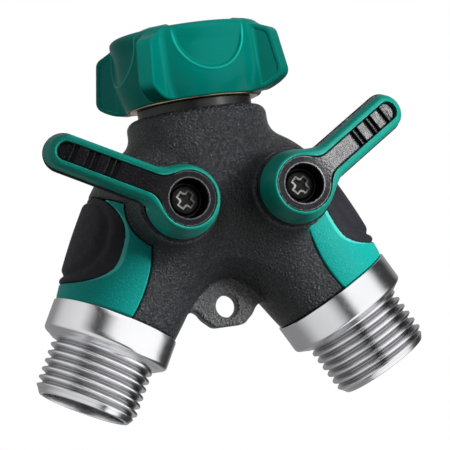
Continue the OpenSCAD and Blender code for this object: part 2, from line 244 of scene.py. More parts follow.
def polygonise(field, low, high, cell):
    """Points, quads, normals and edge marks of a field's surface inside a box."""
    cell = cell * COARSE
    values = sample(field, low, high, cell)
    points, quads = net(values, low, cell)
    points, normals, edge = settle(field, points, quads, cell)
    return points, quads, normals, edge


def new_object(name, points, quads, normals=None, edge=None):
    """Mesh object from points in mm. Edge tells the materials how sharp the edge at each point is, for their
    painted edge highlights.
    """
    mesh = bpy.data.meshes.new(name)
    mesh.vertices.add(len(points))
    mesh.vertices.foreach_set("co", (np.asarray(points) * MM).astype(np.float32).ravel())
    mesh.loops.add(quads.size)
    mesh.loops.foreach_set("vertex_index", quads.astype(np.int32).ravel())
    mesh.polygons.add(len(quads))
    mesh.polygons.foreach_set("loop_start", np.arange(0, quads.size, 4, dtype=np.int32))
    mesh.update(calc_edges=True)
    mesh.validate()
    mesh.polygons.foreach_set("use_smooth", np.ones(len(mesh.polygons), dtype=bool))
    if normals is not None and len(mesh.vertices) == len(normals):
        mesh.normals_split_custom_set_from_vertices(normals.tolist())
    obj = bpy.data.objects.new(name, mesh)
    bpy.context.scene.collection.objects.link(obj)
    if edge is not None:
        mark_points(obj, "edge", edge)
    return obj


def mark_points(obj, name, values):
    """Stores a number from 0 to 1 at each point, for the materials."""
    mark = obj.data.attributes.new(name, "FLOAT", "POINT")
    mark.data.foreach_set("value", np.clip(values, 0.0, 1.0).astype(np.float32))


# ------------------------------------------------------------------ frames


def to_leg(x, y, z, side):
    """u points to the leg's outer side, v to the back, and s runs down the leg."""
    x, z = x * side, z + NUT_H
    return x * COS + z * SIN, y, x * SIN - z * COS


def from_leg(points, side):
    """World points, in mm, from points in a leg's frame."""
    u, v, s = points.T
    x = u * COS + s * SIN
    z = u * SIN - s * COS - NUT_H
    return np.stack([x * side, v, z], 1)


def valve_to_leg(points):
    """In the valve's frame a points outwards, b up the leg and c to the front."""
    a, b, c = points.T
    return np.stack([a, -c, VALVE_S - b], 1)


def placed(name, made, side, convert=None):
    """Object from a mesh made in the right leg's frame, or in its valve's frame if convert says so."""
    points, quads, normals, edge = made
    ends = [points, points + normals]
    if convert:
        ends = [convert(end) for end in ends]
    moved, tips = [from_leg(end, side) for end in ends]
    mirrored = (side < 0) == bool(convert)
    if mirrored:
        quads = quads[:, ::-1]
    return new_object(name, moved, quads, tips - moved, edge)


SIDES = (("left", -1), ("right", 1))

# ------------------------------------------------------------------ cover, panels and pads


def leg_r(s):
    """Radius of the cover along a leg."""
    below = COVER_R - COLLAR_DROP * ((s - BELLY_S) / (COLLAR_S - BELLY_S)) ** 2
    above = COVER_R - SHOULDER_DROP * ((BELLY_S - s) / (BELLY_S - SHOULDER_S)) ** 3
    return np.where(s > BELLY_S, below, above)


def leg_field(u, v, s):
    fall = 3 * SHOULDER_DROP * np.maximum(BELLY_S - s, 0) ** 2 / (BELLY_S - SHOULDER_S) ** 3
    return (np.hypot(u, v) - leg_r(s)) / np.sqrt(1 + fall ** 2)


def hub_field(x, y, z):
    """Neck and the trunk below it, which fills the fork between the legs."""
    low, top, round_r, waist = -22.0, -2.5, 2.6, 0.85
    zj = z + NUT_H
    r = NECK_R - waist * step(-8.0, -25.0, zj)
    wall = np.sqrt(x ** 2 + y ** 2 + np.minimum(zj - low, 0) ** 2) - r
    return corner(wall, zj - top, round_r)


def boss_field(u, v, s):
    """Post round the valve stem, flared like a volcano on its inner side."""
    c = -v
    flare = 3.8
    inner = step(5.0, -8.0, u)
    rise = np.clip((BOSS_C - 0.5 - c) / 12.0, 0.0, 1.2)
    wall = from_valve_axis(u, s) - (BOSS_R - 0.15 + flare * inner * rise ** 1.7)
    return np.maximum(corner(wall / (1 + 0.35 * inner), c - BOSS_C, 0.7), 3.0 - c)


def from_valve_axis(u, s):
    return np.hypot(u, s - VALVE_S)


def pad_shape(v, s, half, low, high, power):
    """Oval with full shoulders, from high to low along the leg and half wide on each side."""
    middle, reach = (low + high) / 2, (low - high) / 2
    across, along = np.abs(v) / half, np.abs(s - middle) / reach
    return ((across ** power + along ** power + 1e-9) ** (1 / power) - 1.0) * reach


def pad_region(u, v, s):
    """Space of the grip pad, on the leg's outer side."""
    return np.maximum(pad_shape(v, s, 15.5, 56.2, 33.0, 3.0), 4.0 - u)


def panel_region(u, v, s):
    """Space of the side panel: outer half of the leg, from beside the boss to the collar."""
    edge = 0.0145 * (53.5 - s) ** 2 - 1.6
    region = smax((edge - u) * 0.95, PANEL_TOP_S - s, 1.5)
    beside = np.where(v < 0, BOSS_R + 0.05 - from_valve_axis(u, s), -9.0)
    return np.maximum(region, beside)


def tab_field(x, y, z):
    """Flat lug with its hole, filling the fork between the legs."""
    zj = z + NUT_H
    ax = np.abs(x)
    web = np.maximum(-zj - 52.9, ax - 15.0)
    foot = smax(smax(ax - 6.6, -zj - 58.2, 0.8), (ax - 6.6 - (zj + 55.6)) * 0.7071, 0.8)
    outline = smin(web, np.maximum(foot, -58.5 - zj), 4.6)
    outline = np.maximum(outline, zj + 25.0)
    outline = smax(outline, tab_hole(x, z), 0.7)
    thick = np.abs(y + 1.1) - 2.5
    return corner(outline, thick, 0.7)


def tab_hole(x, z):
    """Negative outside the hole."""
    return TAB_HOLE_R - np.hypot(x, z + NUT_H + TAB_DROP)


def casting_field(x, y, z):
    """Pocket that the casting fills inside the cover."""
    start = 14.0
    zj = z + NUT_H
    best = np.maximum(np.hypot(x, y) - HUB_R, -22.0 - zj)
    for _, side in SIDES:
        u, v, s = to_leg(x, y, z, side)
        taper = STEM_R + (TUBE_R - STEM_R) * np.clip((s - start) / 11.0, 0, 1)
        tube = np.maximum((np.hypot(u, v) - taper) * 0.9, start - s)
        stem = np.maximum(from_valve_axis(u, s) - STEM_R, v)
        best = np.minimum(best, np.minimum(tube, stem))
    return best


def body_field(x, y, z):
    """Trunk, legs and valve posts, run into each other. The fork between the legs is filled widest."""
    legs, bosses = [], []
    for _, side in SIDES:
        u, v, s = to_leg(x, y, z, side)
        legs.append(leg_field(u, v, s))
        bosses.append((boss_field(u, v, s), 2.2 + 5.5 * step(4.0, -6.0, u)))
    k = 12.0 + 7.3 * step(-26.0, -38.0, z + NUT_H)
    shape = smin(hub_field(x, y, z), smin(legs[0], legs[1], k), 3.2)
    for boss, k in bosses:
        shape = smin(shape, boss, k)
    return shape


def cover_field(x, y, z):
    """Black cover with its tab, hollow for the casting and pocketed for the panels and pads."""
    shape = smin(body_field(x, y, z), tab_field(x, y, z), 1.1)
    shape = smax(shape, tab_hole(x, z), 0.6)
    shape = np.maximum(shape, -casting_field(x, y, z))
    for _, side in SIDES:
        u, v, s = to_leg(x, y, z, side)
        shape = smax(shape, s - COLLAR_S + 0.1, 0.6)
        rho = np.hypot(u, v)
        inset = np.minimum(panel_region(u, v, s), pad_region(u, v, s))
        pocket = smax(inset - GAP, PANEL_IN - GAP - rho, 0.5)
        pocket = np.where(x * side > 0, pocket, 5.0)
        shape = smax(shape, -pocket, 0.9)
    return shape


def panel_field(u, v, s):
    """Green panel with a window for the pad."""
    rho = np.hypot(u, v)
    shape = corner(rho - leg_r(s) - 0.12, panel_region(u, v, s) + GAP, 0.45)
    shape = smax(shape, s - COLLAR_S + 0.15, 0.7)
    shape = corner(shape, GAP - pad_region(u, v, s), 0.4)
    return np.maximum(shape, PANEL_IN - rho)


def pad_field(u, v, s):
    """Soft pad with a groove round a raised inner oval."""
    rho = np.hypot(u, v)
    inner = pad_shape(v, s, 12.3, 53.7, 34.2, 2.6)
    skin = leg_r(s) + 0.4 - 0.75 * bump(inner - 0.2, 0.75) + 0.12 * step(0.4, -1.5, inner)
    shape = corner(rho - skin, pad_region(u, v, s) + GAP, 0.9)
    return np.maximum(shape, PANEL_IN - rho)


# ------------------------------------------------------------------ inlet nut


def lug_field(h, r, t):
    """One lug of the nut: r runs outwards along it, t across it and h up from the nut's foot."""
    tip = (r - LUG_R + 0.165 * (h - 5.0)) * 0.987
    heel = (r - 22.9 - 1.45 * (h - 0.6)) * 0.57
    top = (h - 17.7 + 0.42 * (r - 19.7)) * 0.92
    foot = 0.15 + 0.2 * np.maximum(r - 20.0, 0.0) - h
    lug = smax(smax(tip, heel, 1.6), smax(top, foot, 0.4), 1.2)
    inset = 0.3 * step(-0.9, -1.3, lug) * step(20.3, 21.0, r)
    lug = corner(lug, t - LUG_HALF + 0.04 * (r - 19.0) + inset, 0.5)
    return np.maximum(lug, 12.0 - r)


def nut_field(x, y, z):
    """Green grip: a cup with four lugs, and a thumb recess like half an oval between each two."""
    floor_r, half, depth, centre_h = 18.95, 9.0, 10.0, 17.0
    h = z + NUT_H
    rho = np.hypot(x, y)
    shape = smax(rho - NUT_R, (rho - 17.5 - 0.43 * h) * 0.92, 1.3)
    shape = corner(shape, h - NUT_H + 0.05, 2.1)
    for turn in range(4):
        r, t = rotated(x, y, 45 + 90 * turn + NUT_TURN)
        shape = smin(shape, lug_field(h, r, np.abs(t)), 1.7)
    for turn in range(4):
        r, t = rotated(x, y, 90 * turn + NUT_TURN)
        edge = (np.hypot(t / half, np.minimum(h - centre_h, 0.0) / depth) - 1.0) * half
        lip = 0.14 * bump(edge - 0.5, 0.45) * step(16.0, 12.0, h)
        shape = shape - np.where(r > 0, lip, 0.0)
        cut = smax(edge, floor_r + 0.8 * step(13.5, 18.5, h) - rho, 0.7)
        cut = np.where(r > 0, cut, 5.0)
        shape = smax(shape, -cut, 0.6)
    shape = smax(shape, 0.1 - h, 0.4)
    flange = np.maximum(rho - FLANGE_R - 0.05, h - 1.25)
    return np.maximum(smax(shape, 15.05 - rho, 0.5), -flange)


# ------------------------------------------------------------------ levers, in the valve frame


def arm_frame(a, c):
    """Distance along the arm and height above its top face."""
    d, e = a - ARM_START, c - RING_C
    return d * math.cos(ARM_TILT) - e * math.sin(ARM_TILT), d * math.sin(ARM_TILT) + e * math.cos(ARM_TILT)


def strip(along, across, half, end):
    """Outline of a strip with a round end."""
    over = np.maximum(along - (end - half), 0.0)
    return np.hypot(over, across) - half


def lever_top(a, c):
    """Height above the lever's face, which is flat on the knob and falls back along the arm."""
    _, high = arm_frame(a, c)
    return smax(c - RING_C, high, 1.2)


def core_outline(a, b, along):
    """Outline of the black core as seen from the front: the hub and the inlay in the arm."""
    arm = np.maximum(strip(along, b, CHANNEL_HALF, CHANNEL_END), -a)
    return smin(np.hypot(a, b) - HUB_CORE_R, arm, 3.0)


def grip_field(a, b, c):
    """Green shell of the lever: the knob's skirt and the arm, open where the black core shows."""
    a, b = rotated(a, b, ARM_LEAN)
    along, high = arm_frame(a, c)
    depth = -lever_top(a, c)
    lean = 0.65 * step(0.0, 1.3, depth) + 0.25 * step(1.0, 4.4, depth)
    arm = strip(along - 0.5 * np.clip(depth, 0.0, GRIP_H) * step(20.0, 30.0, along), b,
                ARM_HALF - 0.85 + lean, ARM_L - 2.0 + lean)
    arm = np.maximum(arm, -a)
    arm = np.maximum(arm, -GRIP_H - high)
    rho = np.hypot(a, b)
    knob = smax(rho - KNOB_R, (rho - 7.75 - 0.25 * (RING_C - c)) * 0.97, 0.8)
    knob = smax(knob, SKIRT_C + 1.45 - c, 0.5)
    shape = smin(knob, arm, 3.4)
    shape = smax(shape, -depth, 0.55)
    inlay = np.maximum(core_outline(a, b, along), -CHANNEL_DEPTH - high)
    core = np.minimum(rho - HUB_CORE_R, inlay)
    shape = smax(shape, GAP - core, 0.25)
    under = np.maximum(strip(along, b, ARM_HALF + 0.8, ARM_L + 1.7), high + GRIP_H + 0.03)
    under = np.maximum(under, 5.0 - a)
    return np.maximum(shape, -under)


def ridge_cut(along, high):
    """Three pairs of slots across the inlay, and the low ground between them and the arm's tip."""
    first, pitch, apart, half, depth = 24.9, 5.5, 0.85, 0.5, 1.2
    slots = np.full_like(along, 9.0)
    for turn in range(3):
        pair = np.abs(np.abs(along - first + pitch * turn) - apart) - half
        slots = np.minimum(slots, pair)
    pocket = np.minimum(slots, 26.3 - along)
    return np.maximum(pocket, -depth - high)


def core_field(a, b, c):
    """Black core: hub with the screw's cup and the stem's square, base flange, under-plate and inlay."""
    drive = np.maximum(np.maximum(np.abs(a), np.abs(b)) - 2.85, c - 32.45)
    a, b = rotated(a, b, ARM_LEAN)
    along, high = arm_frame(a, c)
    rho = np.hypot(a, b)
    face = lever_top(a, c) + 0.25
    inlay = smax(core_outline(a, b, along) + GAP, face, 0.35)
    inlay = smax(inlay, -ridge_cut(along, high), 0.35)
    inlay = np.maximum(inlay, -2.2 - high)
    hub = np.maximum(np.maximum(rho - HUB_CORE_R + GAP, face), SKIRT_C - c)
    base = corner(rho - KNOB_R - 0.4, np.abs(c - SKIRT_C - 0.7) - 0.7, 0.35)
    plate = strip(along, b, ARM_HALF + 0.5, ARM_L + 1.3)
    plate = corner(plate, np.abs(high + GRIP_H + 0.65) - 0.6, 0.35)
    plate = np.maximum(plate, 5.5 - a)
    shape = np.minimum(np.minimum(hub, base), np.minimum(inlay, plate))
    cup_r = CUP_R - 0.35 * step(RING_C, CUP_FLOOR, c)
    cup = smax(rho - cup_r, CUP_FLOOR - c, 0.5)
    lip = 0.12 * bump(rho - CUP_R - 0.15, 0.2)
    shape = smax(shape - lip * (c > RING_C - 2), -cup, 0.35)
    return np.maximum(np.maximum(shape, -drive), 1.6 - rho)


def screw_field(a, b, c):
    """Domed screw head with a cross recess that narrows as it goes down, on a short shaft."""
    a, b = rotated(a, b, SCREW_TURN)
    rho = np.hypot(a, b)
    dome = c - CUP_FLOOR - 1.75 + 0.03 * rho ** 2
    head = corner(rho - 3.75, np.maximum(dome, CUP_FLOOR + 0.05 - c), 0.45)
    sunk = np.maximum(CUP_FLOOR + 1.8 - c, 0.0)
    wing = np.maximum(0.62 - 0.10 * sunk, 0.2)
    reach = 2.15 - 0.45 * sunk
    one = np.maximum(np.abs(a) - reach, np.abs(b) - wing)
    other = np.maximum(np.abs(b) - reach, np.abs(a) - wing)
    cross = smin(one, other, 0.8)
    cross = smax(cross, CUP_FLOOR + 0.95 - c, 0.2)
    shaft = np.maximum(rho - 1.45, np.maximum(24.0 - c, c - CUP_FLOOR - 0.5))
    return smin(smax(head, -cross, 0.2), shaft, 0.3)


def washer_field(x, y, z):
    """Hose washer with three ears."""
    rho = np.hypot(x, y)
    flat = np.abs(z + 13.05) - 1.25
    ears = np.full_like(x, 9.0)
    for turn in range(3):
        a = math.radians(90 + 120 * turn)
        ear = np.hypot(x - 12.4 * math.cos(a), y - 12.4 * math.sin(a)) - 1.0
        ears = np.minimum(ears, ear)
    outline = smax(smin(rho - 12.6, ears, 0.6), 8.2 - rho, 0.3)
    return corner(outline, flat, 0.3)


# ------------------------------------------------------------------ turned parts with their threads

# Known fault: the helices below are left-handed, and those of a real hose thread are right-handed.


def thread_height(phase, flat, height):
    """0 at the root and 1 at the crest, with 60 degree flanks and slightly rounded edges."""
    off = np.abs((phase + 0.5) % 1.0 - 0.5) * PITCH
    run = height * math.tan(math.radians(30))
    t = np.clip(1.0 - (off - flat / 2) / run, 0.0, 1.0)
    return 0.75 * t + 0.25 * t * t * (3 - 2 * t)


def turned(profile, radius, columns):
    """Closed lathe about +Z. Profile rows are (r, z), and radius(r, z, angle) may move r."""
    profile = np.array(profile)
    rows = len(profile)
    angle = np.arange(columns) * 2 * math.pi / columns
    height = profile[:, 1:] + 0 * angle
    r = radius(profile[:, :1] + 0 * angle, height, angle + 0 * height)
    points = np.stack([r * np.cos(angle), r * np.sin(angle), height], 2).reshape(-1, 3)
    row, col = np.meshgrid(np.arange(rows), np.arange(columns), indexing="ij")
    nrow, ncol = (row + 1) % rows, (col + 1) % columns
    ring = [row * columns + col, row * columns + ncol, nrow * columns + ncol, nrow * columns + col]
    return points, np.stack(ring, 2).reshape(-1, 4)


def line(a, b, pitch):
    """Points from a to b, without b."""
    n = max(1, int(math.ceil(math.dist(a, b) / (pitch * COARSE))))
    return [(a[0] + (b[0] - a[0]) * i / n, a[1] + (b[1] - a[1]) * i / n) for i in range(n)]


def path(corners, fine, r_edge):
    """Closed profile through rounded corners. Each corner is (r, z), or (r, z, own edge radius)."""
    out = []
    n = len(corners)
    for i in range(n):
        here = np.array(corners[i][:2], dtype=float)
        before = np.array(corners[i - 1][:2], dtype=float)
        after = np.array(corners[(i + 1) % n][:2], dtype=float)
        r = corners[i][2] if len(corners[i]) > 2 else r_edge
        la, lb = np.linalg.norm(before - here), np.linalg.norm(after - here)
        cut = min(r, la * 0.45, lb * 0.45)
        start = here + (before - here) / la * cut
        end = here + (after - here) / lb * cut
        for t in (0.0, 0.25, 0.5, 0.75, 1.0):
            out.append(tuple((1 - t) ** 2 * start + 2 * t * (1 - t) * here + t * t * end))
    filled = []
    for i in range(len(out)):
        filled += line(out[i], out[(i + 1) % len(out)], fine)
    return filled


def refined(profile, wanted, pitch):
    """The profile with more points on the stretches that the thread runs over."""
    rows = []
    for here, after in zip(profile, profile[1:] + profile[:1]):
        rows.append(here)
        if wanted(*here) and wanted(*after):
            count = max(1, int(abs(after[1] - here[1]) / (pitch * COARSE)))
            rows += [(here[0] + (after[0] - here[0]) * j / count, here[1] + (after[1] - here[1]) * j / count)
                     for j in range(1, count)]
    return rows


def outlet_mesh():
    """Collar, male thread and shank about the Z axis, with s running down it."""
    nose, socket = VALVE_S + 8.35, VALVE_S + 18.45
    lip = COLLAR_S + 7.6
    corners = [
        (6.5, nose), (9.15, nose), (9.15, socket), (12.3, socket),
        (12.3, socket + 3.9, 0.1), (10.35, socket + 3.95, 0.1), (10.35, socket + 6.15, 0.1),
        (12.3, socket + 6.2, 0.1), (12.3, COLLAR_S, 0.1),
        (COLLAR_R, COLLAR_S, 0.35), (COLLAR_R, lip, 0.9), (COLLAR_R - 1.5, lip + 0.75, 0.5),
        (13.0, lip + 2.1, 0.7), (12.9, OUTLET_S - 1.5, 0.3), (11.95, OUTLET_S, 0.2),
        (MOUTH_R, OUTLET_S, 0.2), (MOUTH_R, COLLAR_S - 2), (9.0, COLLAR_S - 5),
        (9.0, socket + 2), (6.5, socket - 1),
    ]
    low, high = COLLAR_S + 9.9, OUTLET_S - 0.9
    rows = refined(path(corners, 1.2, 0.25), lambda r, s: r > 11.9 and s > lip + 1.2, PITCH / 30)

    def radius(r, s, angle):
        turn = thread_height((s - low) / PITCH - angle / (2 * math.pi), 0.4, MALE_R - MALE_ROOT_R)
        screw = MALE_ROOT_R + (MALE_R - MALE_ROOT_R) * turn
        blend = step(low - 1.1, low - 0.2, s) * step(high - 0.3, high - 1.5, s)
        outer = (r > 11.85) & (s > lip + 1.0)
        return np.where(outer, r + (screw - r) * blend, r)

    points, quads = turned(rows, radius, int(176 / COARSE))
    points[:, 2] *= -1
    return points, quads[:, ::-1]


def insert_mesh():
    """Female thread insert of the nut, with its flange and swivel shoulder."""
    foot = -NUT_H - 0.2
    corners = [
        (10.55, foot, 0.2), (FLANGE_R, foot, 0.35),
        (FLANGE_R, -NUT_H + 1.2, 0.35), (15.0, -NUT_H + 1.2, 0.1),
        (15.0, 0, 0.35), (FEMALE_R, 0, 0.1), (FEMALE_R, -0.6, 0.1), (13.2, -1.4, 0.1),
        (13.2, -11.6, 0.3), (FEMALE_ROOT_R, -12.2, 0.2),
        (FEMALE_ROOT_R, foot + 3.2, 0.2), (10.55, foot + 3.2, 0.2),
    ]
    rows = refined(path(corners, 1.2, 0.25), lambda r, z: r < 14 and z > -12.3, PITCH / 24)

    def radius(r, z, angle):
        turn = thread_height((z + 1.9) / PITCH + angle / (2 * math.pi), 0.4, FEMALE_ROOT_R - FEMALE_R)
        screw = FEMALE_ROOT_R - (FEMALE_ROOT_R - FEMALE_R) * turn
        blend = step(-0.6, -1.6, z) * step(-12.0, -11.0, z)
        inner = (r < 13.9) & (z > -12.3) & (z < -0.55)
        return np.where(inner, r + (screw - r) * blend, r)

    return turned(rows, radius, int(144 / COARSE))


# ------------------------------------------------------------------ materials


class Nodes:
    """Small helper to write a node tree as nested calls."""

    def __init__(self, tree):
        self.tree = tree
        tree.nodes.clear()

    def add(self, kind, inputs=None, **settings):
        node = self.tree.nodes.new(kind)
        for key, value in settings.items():
            setattr(node, key, value)
        for key, value in (inputs or {}).items():
            if isinstance(value, bpy.types.NodeSocket):
                self.tree.links.new(value, node.inputs[key])
            else:
                node.inputs[key].default_value = value
        return node

    def math(self, kind, a, b=0.0, c=0.0):
        return self.add("ShaderNodeMath", {0: a, 1: b, 2: c}, operation=kind).outputs[0]

    def remap(self, value, a, b, low, high):
        return self.add("ShaderNodeMapRange", {"Value": value, "From Min": a, "From Max": b,
                                               "To Min": low, "To Max": high}).outputs["Result"]

    def noise(self, vector, scale, detail=3.0, rough=0.5):
        return self.add("ShaderNodeTexNoise", {"Vector": vector, "Scale": scale, "Detail": detail,
                                               "Roughness": rough}).outputs["Fac"]

    def mix(self, fac, a, b):
        """Mixes two colours: sockets 6 and 7 are the node's colour inputs, and output 2 its colour."""
        return self.add("ShaderNodeMix", {0: fac, 6: a, 7: b}, data_type="RGBA").outputs[2]


def rgb(r, g, b):
    return (r, g, b, 1.0)


def shade(name, color, dark, edge, rough, grain_scale, grain, speck=0.0, metal=0.0, coat=0.0,
          variation=40.0, edge_at=(0.12, 0.32), turned_along=None, spec=0.5, tab=None):
    """Procedural material: base colour with slow variation, grain bump, gloss variation, painted sparkle
    highlights on the grain and painted highlights on sharp edges. Points marked as thread roots get painted
    shade.
    """
    mat = bpy.data.materials.new(name)
    mat.use_nodes = True
    n = Nodes(mat.node_tree)
    where = n.add("ShaderNodeTexCoord").outputs["Object"]
    slow = n.noise(where, variation, 2.0)
    fine = n.noise(where, grain_scale, 3.0, 0.7)
    cells = n.add("ShaderNodeTexVoronoi", {"Vector": where, "Scale": grain_scale * 0.8}).outputs["Distance"]
    base = n.mix(n.remap(slow, 0.35, 0.65, 0.0, 1.0), rgb(*dark), rgb(*color))
    # Painted sparkle highlights: lighter flecks in the edge colour where the fine noise is high, stronger on
    # the tab.
    sparkle = n.remap(fine, 0.54, 0.68, 0.0, speck)
    if tab is not None:
        on_tab = n.add("ShaderNodeAttribute", attribute_name="tab").outputs["Fac"]
        base = n.mix(on_tab, base, rgb(*tab))
        sparkle = n.math("MULTIPLY_ADD", n.remap(fine, 0.48, 0.66, 0.0, 0.9), on_tab, sparkle)
    if speck:
        base = n.mix(sparkle, base, rgb(*edge))
    # Painted highlights: the sharper the edge at a point, the closer its colour goes to the edge colour.
    bent = n.add("ShaderNodeAttribute", attribute_name="edge").outputs["Fac"]
    base = n.mix(n.remap(bent, edge_at[0], edge_at[1], 0.0, 0.9), base, rgb(*edge))
    height = n.math("MULTIPLY_ADD", cells, 0.6, n.math("MULTIPLY", fine, 0.8))
    if turned_along is not None:
        # Painted shade in the thread roots: darker where the root mark is high.
        sunk = n.add("ShaderNodeAttribute", attribute_name="root").outputs["Fac"]
        base = n.mix(n.remap(sunk, 0.40, 1.0, 0.0, 0.80), base, rgb(0.06, 0.06, 0.065))
        rings = n.add("ShaderNodeVectorMath", {0: where, 1: turned_along}, operation="DOT_PRODUCT")
        flat = n.add("ShaderNodeCombineXYZ", {"Z": rings.outputs["Value"]}).outputs[0]
        height = n.math("ADD", n.noise(flat, 5200.0, 2.0, 0.6), n.math("MULTIPLY", height, 0.35))
    bumps = n.add("ShaderNodeBump", {"Height": height, "Strength": 1.0, "Distance": grain * MM})
    gloss = n.remap(n.noise(where, grain_scale * 0.4, 3.0), 0.3, 0.7, rough * 0.85, rough * 1.15)
    bsdf = n.add("ShaderNodeBsdfPrincipled", {
        "Base Color": base, "Roughness": gloss, "Metallic": metal, "Coat Weight": coat,
        "Coat Roughness": 0.08, "Specular IOR Level": spec, "Normal": bumps.outputs["Normal"]})
    n.add("ShaderNodeOutputMaterial", {"Surface": bsdf.outputs[0]})
    return mat


def make_materials():
    """One material for each slot. The turned metals have their rings along their own axis."""
    right_axis = (SIN, 0.0, -COS)
    left_axis = (-SIN, 0.0, -COS)
    # The third colour of each is the painted highlight colour for sharp edges and grain sparkles.
    return {
        "cover": shade("cover_grain", (0.008, 0.009, 0.012), (0.005, 0.006, 0.008), (0.13, 0.13, 0.15),
                       0.27, 2000.0, 0.60, speck=0.45, spec=0.45, tab=(0.060, 0.061, 0.058)),
        "panel": shade("panel_grain", (0.006, 0.38, 0.33), (0.004, 0.32, 0.28), (0.10, 0.62, 0.55),
                       0.42, 2100.0, 0.10, speck=0.22, spec=0.15),
        "pad": shade("pad_rubber", (0.019, 0.019, 0.024), (0.014, 0.014, 0.018), (0.09, 0.09, 0.10),
                     0.60, 2000.0, 0.05, speck=0.1, spec=0.2),
        "lever_green": shade("lever_green", (0.006, 0.30, 0.235), (0.004, 0.26, 0.20), (0.09, 0.55, 0.45),
                             0.34, 2400.0, 0.02, spec=0.14, edge_at=(0.19, 0.36)),
        # Painted highlights: a lighter ring on the cup's rim and lighter lines on the ridges.
        "lever_black": shade("lever_black", (0.009, 0.009, 0.011), (0.006, 0.006, 0.008), (0.20, 0.20, 0.21),
                             0.30, 2100.0, 0.06, speck=0.15, spec=0.14, edge_at=(0.27, 0.46)),
        # Painted highlights: white lines on the edges of the cross recess.
        "screw": shade("screw_black", (0.006, 0.006, 0.006), (0.004, 0.004, 0.004), (0.80, 0.80, 0.76),
                       0.30, 2500.0, 0.01, spec=0.2, edge_at=(0.04, 0.12)),
        "nut_green": shade("nut_gloss", (0.0, 0.225, 0.18), (0.0, 0.185, 0.148), (0.01, 0.55, 0.46),
                           0.30, 900.0, 0.012, coat=0.03, spec=0.08, edge_at=(0.07, 0.26)),
        "insert": shade("insert_brass", (0.50, 0.40, 0.28), (0.36, 0.28, 0.19), (0.95, 0.88, 0.7),
                        0.25, 2500.0, 0.02, metal=1.0, turned_along=(0, 0, 1)),
        "metal_left": shade("turned_metal_left", (0.76, 0.76, 0.78), (0.70, 0.70, 0.72), (1.0, 1.0, 1.0),
                            0.19, 2500.0, 0.002, metal=1.0, turned_along=left_axis),
        "metal_right": shade("turned_metal_right", (0.76, 0.76, 0.78), (0.70, 0.70, 0.72), (1.0, 1.0, 1.0),
                             0.22, 2500.0, 0.002, metal=1.0, turned_along=right_axis),
        "casting": shade("casting_dark", (0.022, 0.021, 0.020), (0.015, 0.014, 0.014), (0.3, 0.3, 0.3),
                         0.30, 1500.0, 0.02, metal=0.3, turned_along=(0, 0, 1), spec=0.4),
        "seal": shade("seal_rubber", (0.016, 0.016, 0.017), (0.010, 0.010, 0.011), (0.05, 0.05, 0.05),
                      0.5, 2500.0, 0.02),
        "seat": shade("seat_white", (0.80, 0.80, 0.77), (0.72, 0.72, 0.69), (0.9, 0.9, 0.88),
                      0.4, 2500.0, 0.01),
        "ball": shade("ball_chrome", (0.78, 0.78, 0.80), (0.70, 0.70, 0.73), (0.95, 0.95, 0.95),
                      0.10, 3000.0, 0.004, metal=1.0),
        "brass": shade("machined_brass", (0.72, 0.55, 0.26), (0.60, 0.44, 0.20), (0.95, 0.85, 0.6),
                       0.28, 2500.0, 0.015, metal=1.0),
        "washer": shade("washer_rubber", (0.018, 0.018, 0.019), (0.012, 0.012, 0.013), (0.06, 0.06, 0.06),
                        0.62, 2200.0, 0.04),
    }


# ------------------------------------------------------------------ pieces


def finish_piece(obj, body, node, mat):
    """Gives a piece its material, and lets it ride on a body in place of a CAD node."""
    obj.data.materials.clear()
    obj.data.materials.append(mat)
    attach(obj, body)
    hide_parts(node)


def build_outlet(name, side, mat):
    """Outlet on one leg. It is turned, not mirrored, so that both threads have the same hand."""
    points, quads = outlet_mesh()
    x, y, z = points.T
    obj = new_object(f"{name}_thread", from_leg(np.stack([side * x, y, -z], 1), side), quads)
    # Mark for the painted shade in the thread: how far each point sits down into the groove, on the threaded
    # stretch only.
    rho = np.hypot(x, y)
    sunk = (MALE_R - 0.15 - rho) / (MALE_R - MALE_ROOT_R) * (rho > 11.6)
    below_collar = step(COLLAR_S + 8.4, COLLAR_S + 9.5, -z)
    above_mouth = step(OUTLET_S - 0.2, OUTLET_S - 1.2, -z)
    mark_points(obj, "root", sunk * below_collar * above_mouth)
    finish_piece(obj, "body", f"{name}_outlet", mat)


def build_body(mats):
    made = polygonise(cover_field, (-47.5, -30.5, -80.0), (47.5, 19.5, -20.5), 0.46)
    cover = new_object("cover", *made)
    x, y, z = made[0].T
    off_body, below_fork = step(0.0, 0.5, body_field(x, y, z)), step(-42.0, -44.0, z + NUT_H)
    mark_points(cover, "tab", off_body * below_fork * (np.abs(x) < 14))
    finish_piece(cover, "body", "body_cover", mats["cover"])
    panel = polygonise(panel_field, (-2.6, -18.5, 32.0), (18.6, 18.5, 61.0), 0.32)
    pad = polygonise(pad_field, (3.4, -16.4, 32.0), (18.8, 16.4, 57.2), 0.27)
    for name, side in SIDES:
        obj = placed(f"{name}_panel", panel, side)
        finish_piece(obj, "body", f"{name}_side_panel", mats["panel"])
        obj = placed(f"{name}_pad", pad, side)
        finish_piece(obj, "body", f"{name}_grip_pad", mats["pad"])
        build_outlet(name, side, mats[f"metal_{name}"])


def build_nut(mats):
    made = polygonise(nut_field, (-24.5, -24.5, -19.6), (24.5, 24.5, 0.8), 0.30)
    grip = new_object("nut_shell", *made)
    finish_piece(grip, "swivel_nut", "nut_grip", mats["nut_green"])
    insert = new_object("nut_thread", *insert_mesh())
    finish_piece(insert, "swivel_nut", "nut_insert", mats["insert"])
    made = polygonise(washer_field, (-14.5, -14.5, -15.0), (14.5, 14.5, -11.2), 0.22)
    washer = new_object("nut_washer", *made)
    finish_piece(washer, "swivel_nut", "inlet_washer", mats["washer"])


